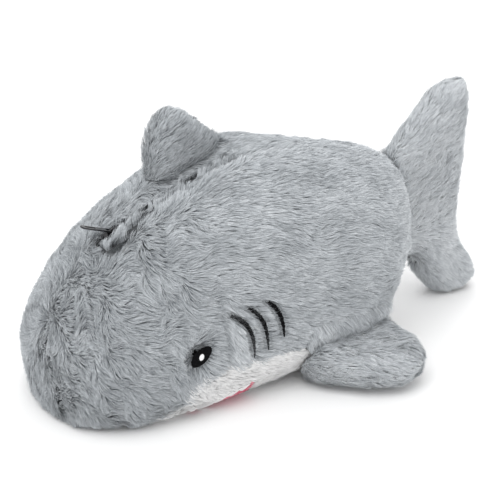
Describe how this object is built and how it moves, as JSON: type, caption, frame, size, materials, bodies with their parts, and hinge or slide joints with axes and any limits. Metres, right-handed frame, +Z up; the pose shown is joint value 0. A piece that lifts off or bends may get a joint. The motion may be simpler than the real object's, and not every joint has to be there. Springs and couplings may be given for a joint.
{
  "type": "plush toy",
  "caption": "Plush shark lying on its belly, long grey pile over a white underside, stuffed fins, zip along the back over a pouch with a small hot water bottle",
  "frame": {"origin": "centre of the bounding box in plan, on the floor plane the belly rests on", "axes": "+Z up, nose toward -Y, tail toward +Y, the shark's own left toward +X"},
  "size_m": [0.2682, 0.4276, 0.2152],
  "materials": {
    "fur_grey": "long-pile plush, lying back and tousled",
    "fur_white": "short-pile plush",
    "pink_fabric": "short-pile fabric",
    "white_felt": "felt, cut edge",
    "black_thread": "satin-stitch embroidery",
    "white_thread": "satin-stitch embroidery",
    "stuffing": "loose polyester fibre",
    "lining": "plain woven lining",
    "zip_tape": "woven tape",
    "zip_metal": "dark gunmetal plating",
    "bottle_rubber": "moulded, satin",
    "insert_brass": "machined",
    "washer_rubber": "smooth",
    "stopper_plastic": "moulded"
  },
  "bodies": {
    "cover": {"head_panel_left": "fur_grey", "back_panel_left": "fur_grey", "cheek_left": "fur_white", "teeth_left": "white_felt", "eye_left": "black_thread", "eye_highlight_left": "white_thread", "gill_1_left": "black_thread", "gill_2_left": "black_thread", "gill_3_left": "black_thread", "zip_tape_left": "zip_tape", "zip_teeth_left": "zip_metal", "head_panel_right": "fur_grey", "back_panel_right": "fur_grey", "cheek_right": "fur_white", "teeth_right": "white_felt", "eye_right": "black_thread", "eye_highlight_right": "white_thread", "gill_1_right": "black_thread", "gill_2_right": "black_thread", "gill_3_right": "black_thread", "zip_tape_right": "zip_tape", "zip_teeth_right": "zip_metal", "jaw_panel": "fur_white", "belly_panel": "fur_white", "mouth_lining": "pink_fabric", "head_filling": "stuffing", "body_filling": "stuffing", "pouch_lining": "lining", "zip_stop": "zip_metal", "bottle_body": "bottle_rubber", "bottle_neck_insert": "insert_brass"},
    "tail": {"tail_cover_left": "fur_grey", "tail_cover_right": "fur_grey", "tail_filling": "stuffing"},
    "dorsal_fin": {"dorsal_cover_left": "fur_grey", "dorsal_cover_right": "fur_grey", "dorsal_filling": "stuffing"},
    "pectoral_left": {"pectoral_top_left": "fur_grey", "pectoral_under_left": "fur_grey", "pectoral_filling_left": "stuffing"},
    "pectoral_right": {"pectoral_top_right": "fur_grey", "pectoral_under_right": "fur_grey", "pectoral_filling_right": "stuffing"},
    "slider": {"zip_slider": "zip_metal"},
    "pull_tab": {"zip_pull_tab": "zip_metal"},
    "washer": {"stopper_washer": "washer_rubber"},
    "stopper": {"bottle_stopper": "stopper_plastic"}
  },
  "joints": [
    {"name": "tail_sway", "type": "hinge", "parent": "cover", "child": "tail", "pos_m": [0, 0.114, 0.1], "axis": [0, 0, 1], "range_deg": [-28, 28], "stiffness_Nm_per_rad": 0.25, "deforming": ["tail_cover_left", "tail_cover_right", "tail_filling"]},
    {"name": "dorsal_flop", "type": "hinge", "parent": "cover", "child": "dorsal_fin", "pos_m": [-0.009, -0.08, 0.163], "axis": [0, 1, 0], "range_deg": [-35, 25], "stiffness_Nm_per_rad": 0.06, "deforming": ["dorsal_cover_left", "dorsal_cover_right", "dorsal_filling"]},
    {"name": "pectoral_left_lift", "type": "hinge", "parent": "cover", "child": "pectoral_left", "pos_m": [0.082, 0.016, 0.0205], "axis": [0, -1, 0], "range_deg": [0, 50], "stiffness_Nm_per_rad": 0.06, "deforming": ["pectoral_top_left", "pectoral_under_left", "pectoral_filling_left"]},
    {"name": "pectoral_right_lift", "type": "hinge", "parent": "cover", "child": "pectoral_right", "pos_m": [-0.082, 0.016, 0.0205], "axis": [0, 1, 0], "range_deg": [0, 50], "stiffness_Nm_per_rad": 0.06, "deforming": ["pectoral_top_right", "pectoral_under_right", "pectoral_filling_right"]},
    {"name": "zip_slide", "type": "slide", "parent": "cover", "child": "slider", "axis": [0, 0.9336, 0.3584], "range_m": [0, 0.092], "deforming": ["zip_teeth_left", "zip_teeth_right"]},
    {"name": "pull_tab_swing", "type": "hinge", "parent": "slider", "child": "pull_tab", "pos_m": [0.012, -0.15124, 0.13772], "axis": [1, 0, 0], "range_deg": [-130, 36]},
    {"name": "stopper_rise", "type": "slide", "parent": "cover", "child": "washer", "axis": [0, -1, 0], "range_m": [0, 0.009]},
    {"name": "stopper_turn", "type": "hinge", "parent": "washer", "child": "stopper", "pos_m": [0, -0.12, 0.0382], "axis": [0, -1, 0], "range_deg": [0, 1080]}
  ],
  "couplings": [
    {"joint": "stopper_rise", "follows": "stopper_turn", "m_per_rad": 0.00047746}
  ]
}
